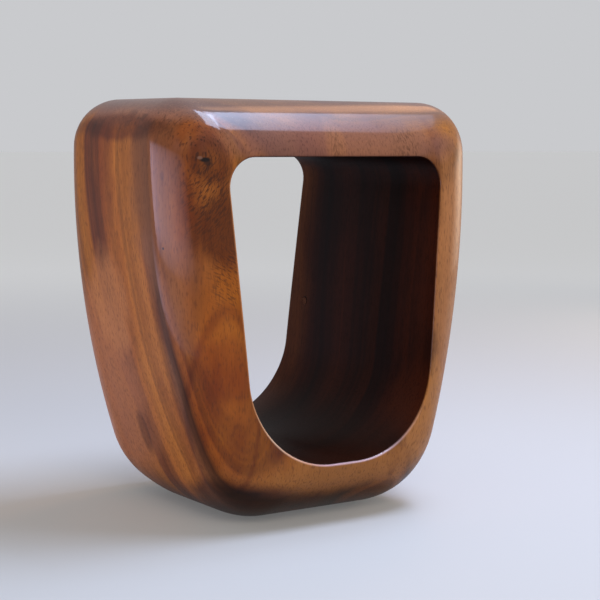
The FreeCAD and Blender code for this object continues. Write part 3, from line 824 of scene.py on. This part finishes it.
# Nylon moulded in a spark-finished tool: matt, dark brown, with a fine orange-peel that softens the
# highlight. The grain is drawn 0.4 mm across.
nylon = bpy.data.materials.new("moulded_nylon")
tree = empty_tree(nylon)
peel = sized_noise(tree, point_in_mm(tree), (0.4, 0.4, 0.4), {"Detail": 2.0})
nylon_colour = add(tree, "ShaderNodeValToRGB", {"stops": [
    (0.3, linear("#2e2622")),
    (0.7, linear("#3b322c"))]}, {"Fac": peel.outputs["Fac"]})
peel_bump = add(tree, "ShaderNodeBump", {"Strength": 0.3, "Distance": 0.0001},
                {"Height": peel.outputs["Fac"]})
moulded = add(tree, "ShaderNodeBsdfPrincipled", {"Roughness": 0.55, "IOR": 1.53},
              {"Base Color": nylon_colour.outputs[0], "Normal": peel_bump.outputs[0]})
add(tree, "ShaderNodeOutputMaterial", {}, {"Surface": moulded.outputs[0]})
glides = set_out("nylon_glides", [
    (SCREW_HEAD_RADIUS + SCREW_ROOM, 0.0),
    (GLIDE_RADIUS - GLIDE_BEVEL, 0.0),
    (GLIDE_RADIUS - BEVEL_BREAK[0], BEVEL_BREAK[1]),
    (GLIDE_RADIUS, GLIDE_BEVEL),
    (GLIDE_RADIUS, GLIDE_THICKNESS),
    (SHANK_RADIUS + SCREW_ROOM, GLIDE_THICKNESS),
    (SHANK_RADIUS + SCREW_ROOM, SEAT_HEIGHT),
    (SCREW_HEAD_RADIUS + SCREW_ROOM, SEAT_HEIGHT)], None, nylon)
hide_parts("glide_front_left", "glide_front_right", "glide_rear_left", "glide_rear_right")
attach(glides, "root")

# Glide screws
# Four pan-head wood screws of zinc-plated steel hold the glides. Each is driven up through its glide
# into the block, with a cross slot in its head and a rolled thread.
THREAD_ROOT_RADIUS = 1.3
THREAD_RADIUS = 1.38
RIDGE_RADIUS = 0.36
THREAD_START = SEAT_HEIGHT + 0.5
THREAD_RISE = 13.5
THREAD_TURNS = 9.0
STEPS_PER_TURN = 24
POINT_START = 17.0
POINT_END = 21.0
SLOT_SIZE = (4.2, 0.9, 2.2)


def slot_and_thread(tree, part):
    """Cut a cross slot into a screw's head and wind a thread round its shank."""
    for turn in (0.0, math.pi / 2):
        slot_box = add(tree, "GeometryNodeMeshCube", {"Size": [length / MM_IN_M for length in SLOT_SIZE]})
        slot_place = add(tree, "GeometryNodeTransform",
                         {"Translation": (0.0, 0.0, SCREW_SETBACK / MM_IN_M), "Rotation": (0.0, 0.0, turn)},
                         {"Geometry": slot_box.outputs[0]})
        part = add(tree, "GeometryNodeMeshBoolean", {"operation": "DIFFERENCE", "solver": "EXACT"},
                   {"Mesh 1": part, "Mesh 2": slot_place.outputs[0]}).outputs[0]
    coil = add(tree, "GeometryNodeCurveSpiral", {
        "Resolution": STEPS_PER_TURN,
        "Rotations": THREAD_TURNS,
        "Start Radius": THREAD_RADIUS / MM_IN_M,
        "End Radius": THREAD_RADIUS / MM_IN_M,
        "Height": THREAD_RISE / MM_IN_M})
    ridge = add(tree, "GeometryNodeCurvePrimitiveCircle", {"Resolution": 3, "Radius": RIDGE_RADIUS / MM_IN_M})
    ridged = add(tree, "GeometryNodeCurveToMesh", {"Fill Caps": True},
                 {"Curve": coil.outputs[0], "Profile Curve": ridge.outputs[0]})
    ridge_place = add(tree, "GeometryNodeTransform", {"Translation": (0.0, 0.0, THREAD_START / MM_IN_M)},
                      {"Geometry": ridged.outputs[0]})
    both = add(tree, "GeometryNodeJoinGeometry")
    tree.links.new(part, both.inputs[0])
    tree.links.new(ridge_place.outputs[0], both.inputs[0])
    return both.outputs[0]


# Bright zinc plate with a faint spangle, about 1 mm across, that breaks up its reflections.
zinc = bpy.data.materials.new("zinc_plated_steel")
tree = empty_tree(zinc)
spangle = sized_noise(tree, point_in_mm(tree), (10 / 9, 10 / 9, 10 / 9), {"Detail": 3.0})
zinc_colour = add(tree, "ShaderNodeValToRGB", {"stops": [
    (0.3, linear("#b4b8bd")),
    (0.7, linear("#d4d6da"))]}, {"Fac": spangle.outputs["Fac"]})
zinc_gloss = add(tree, "ShaderNodeMapRange", {"To Min": 0.22, "To Max": 0.42},
                 {"Value": spangle.outputs["Fac"]})
plated = add(tree, "ShaderNodeBsdfPrincipled", {"Metallic": 1.0},
             {"Base Color": zinc_colour.outputs[0], "Roughness": zinc_gloss.outputs[0]})
add(tree, "ShaderNodeOutputMaterial", {}, {"Surface": plated.outputs[0]})
screws = set_out("pan_head_screws", [
    (0.0, SCREW_SETBACK),
    (2.4, SCREW_SETBACK),
    (3.1, SCREW_SETBACK + 0.3),
    (3.42, SCREW_SETBACK + 0.8),
    (SCREW_HEAD_RADIUS, SCREW_SETBACK + 1.2),
    (SCREW_HEAD_RADIUS, SEAT_HEIGHT),
    (THREAD_ROOT_RADIUS, SEAT_HEIGHT),
    (THREAD_ROOT_RADIUS, POINT_START),
    (0.0, POINT_END)], slot_and_thread, zinc)
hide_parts("glide_screw_front_left", "glide_screw_front_right",
            "glide_screw_rear_left", "glide_screw_rear_right")
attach(screws, "root")

# Floor, lamps and camera
# A plain pale floor, soft lamps and a pale world. The camera stands where the photograph's stood.
FLOOR_HALF = 30.0
FLOOR_DROP = 0.0001


def seen_directly(tree):
    """Give 1 to the rays of the camera, of mirror images and through glass, and 0 to all others."""
    rays = add(tree, "ShaderNodeLightPath")
    seen = add(tree, "ShaderNodeMath", {"operation": "MAXIMUM"},
               {0: rays.outputs["Is Camera Ray"], 1: rays.outputs["Is Glossy Ray"]})
    seen_too = add(tree, "ShaderNodeMath", {"operation": "MAXIMUM"},
                   {0: seen.outputs[0], 1: rays.outputs["Is Transmission Ray"]})
    return seen_too.outputs[0]


floor_mesh = bpy.data.meshes.new("pale_floor_mesh")
floor_corners = [(x * FLOOR_HALF, y * FLOOR_HALF, 0) for x, y in ((-1, -1), (1, -1), (1, 1), (-1, 1))]
floor_mesh.from_pydata(floor_corners, [], [(0, 1, 2, 3)])
floor = bpy.data.objects.new("pale_floor", floor_mesh)
floor.location.z = -FLOOR_DROP
bpy.context.scene.collection.objects.link(floor)

# Matt paint that glows a little more with distance, so that the floor runs into the backdrop.
floor_paint = bpy.data.materials.new("matt_pale_floor")
tree = empty_tree(floor_paint)
place = add(tree, "ShaderNodeTexCoord")
reach = add(tree, "ShaderNodeVectorMath", {"operation": "LENGTH"}, {0: place.outputs["Object"]})
far = add(tree, "ShaderNodeMapRange",
          {"interpolation_type": "SMOOTHSTEP",
           "From Min": 0.5, "From Max": 3.2, "To Min": 0.12, "To Max": 0.39},
          {"Value": reach.outputs["Value"]})
paleness = add(tree, "ShaderNodeMath", {"operation": "MULTIPLY"}, {0: far.outputs[0], 1: seen_directly(tree)})
glow = add(tree, "ShaderNodeEmission", {"Color": (1.0, 1.0, 1.0, 1.0)}, {"Strength": paleness.outputs[0]})
floor_finish = add(tree, "ShaderNodeBsdfPrincipled", {"Base Color": linear("#b4b3b1"), "Roughness": 0.9})
floor_sum = add(tree, "ShaderNodeAddShader", {}, {0: floor_finish.outputs[0], 1: glow.outputs[0]})
add(tree, "ShaderNodeOutputMaterial", {}, {"Surface": floor_sum.outputs[0]})
floor_mesh.materials.append(floor_paint)

world = bpy.data.worlds.new("pale_room")
bpy.context.scene.world = world
tree = empty_tree(world)
lighting = add(tree, "ShaderNodeBackground", {"Color": linear("#e8ecf4"), "Strength": 0.38})
backdrop = add(tree, "ShaderNodeBackground", {"Color": linear("#c9cacd"), "Strength": 1.0})
mixed = add(tree, "ShaderNodeMixShader", {},
            {0: seen_directly(tree), 1: lighting.outputs[0], 2: backdrop.outputs[0]})
add(tree, "ShaderNodeOutputWorld", {}, {"Surface": mixed.outputs[0]})

# Some lamps fade over their width and height, as cloth in front of a window does. Each has stops of
# place and level from left to right, and then from bottom to top.
fades = {
    "warm_strip": (((0.0, 0.3), (0.3, 1.3), (0.7, 1.3), (1.0, 0.3)), ((0.0, 1.0), (1.0, 1.0))),
    "overhead_panel": (((0.0, 1.0), (1.0, 1.0)), ((0.0, 0.12), (0.35, 0.43), (1.0, 1.25))),
    "left_panel": (((0.0, 1.3), (0.55, 0.75), (1.0, 0.0)), ((0.0, 0.3), (0.2, 1.0), (0.6, 1.0), (1.0, 0.0))),
    "low_left_panel": (((0.0, 1.3), (1.0, 0.0)), ((0.0, 1.0), (0.4, 0.9), (1.0, 0.0))),
    "right_panel": (((0.0, 0.2), (0.5, 1.2), (1.0, 0.2)), ((0.0, 0.4), (0.5, 1.2), (1.0, 0.2)))}

# Two panels beside the stool light it alone, so that they leave no bright stripe on the floor. The
# front panel is the only one that isn't mirrored in the lacquer.
stool_pieces = bpy.data.collections.new("stool_pieces")
for piece in (block, plug, glides, screws):
    stool_pieces.objects.link(piece)

# Each lamp is a soft panel: name, centre, aim, width, height, power in watts and colour.
for name, centre, aim, width, height, power, tint in (
        ("overhead_panel", (0.82, -0.17, 1.65), (0.0, -0.12, 0.40), 0.90, 0.55, 26.0, "#c4d6ff"),
        ("overhead_end", (0.41, -0.34, 1.78), (0.0, -0.29, 0.40), 0.96, 0.36, 24.0, "#c8dcff"),
        ("warm_strip", (0.98, 0.62, 1.50), (0.0, -0.05, 0.40), 0.42, 0.80, 3.6, "#ffba84"),
        ("left_panel", (-1.30, -0.15, 0.29), (0.0, -0.15, 0.29), 2.3, 0.58, 24.0, "#e6daff"),
        ("low_left_panel", (-0.60, 0.14, 0.10), (0.0, 0.14, 0.10), 1.16, 0.20, 1.5, "#e6daff"),
        ("right_panel", (2.10, 0.25, 0.46), (0.0, 0.0, 0.25), 1.4, 0.78, 15.0, "#ffe4c8"),
        ("front_panel", (-0.9, -2.4, 1.6), (0.0, 0.0, 0.25), 1.6, 1.2, 30.0, "#fff0de")):
    lamp = bpy.data.lights.new(name, "AREA")
    lamp.shape = "RECTANGLE"
    lamp.size = width
    lamp.size_y = height
    lamp.energy = power
    lamp.color = linear(tint)[:3]
    if name in fades:
        across_levels, up_levels = fades[name]
        tree = empty_tree(lamp)
        spot = add(tree, "ShaderNodeNewGeometry")
        spot_split = add(tree, "ShaderNodeSeparateXYZ", {}, {0: spot.outputs["Parametric"]})
        fading = []
        for way, levels in (("X", across_levels), ("Y", up_levels)):
            stops = [(place, (level, level, level, 1.0)) for place, level in levels]
            fading.append(add(tree, "ShaderNodeValToRGB", {"stops": stops}, {"Fac": spot_split.outputs[way]}))
        faded = add(tree, "ShaderNodeMath", {"operation": "MULTIPLY"},
                    {0: fading[0].outputs["Color"], 1: fading[1].outputs["Color"]})
        emitted = add(tree, "ShaderNodeEmission", {}, {"Strength": faded.outputs[0]})
        add(tree, "ShaderNodeOutputLight", {}, {"Surface": emitted.outputs[0]})
    panel = bpy.data.objects.new(name, lamp)
    panel.location = centre
    panel.rotation_euler = (Vector(aim) - Vector(centre)).to_track_quat("-Z", "Y").to_euler()
    panel.visible_camera = False
    panel.visible_glossy = name != "front_panel"
    if name in ("left_panel", "low_left_panel"):
        panel.light_linking.receiver_collection = stool_pieces
    bpy.context.scene.collection.objects.link(panel)

# The camera's lens, in mm, the three angles that it is turned by, and the point that it looks at from a
# distance, in m.
SENSOR_WIDTH = 36.0
LENS_LENGTH = 94.372
BEARING = math.radians(34.340)
DIP = math.radians(6.014)
ROLL = math.radians(0.384)
LOOKED_AT = Vector((0.040895, 0, 0.224834))
DISTANCE = 1.79933

camera_data = bpy.data.cameras.new("viewpoint")
camera_data.sensor_width = SENSOR_WIDTH
camera_data.lens = LENS_LENGTH
camera = bpy.data.objects.new("viewpoint", camera_data)
bpy.context.scene.collection.objects.link(camera)
ahead = Vector((math.sin(BEARING) * math.cos(DIP), math.cos(BEARING) * math.cos(DIP), -math.sin(DIP)))
level_right = Vector((math.cos(BEARING), -math.sin(BEARING), 0))
level_up = level_right.cross(ahead)
right = level_right * math.cos(ROLL) + level_up * math.sin(ROLL)
up = level_up * math.cos(ROLL) - level_right * math.sin(ROLL)
camera.location = LOOKED_AT - ahead * DISTANCE
camera.rotation_euler = Matrix((right, up, -ahead)).transposed().to_euler()
bpy.context.scene.camera = camera
bpy.context.scene.view_settings.view_transform = "Standard"
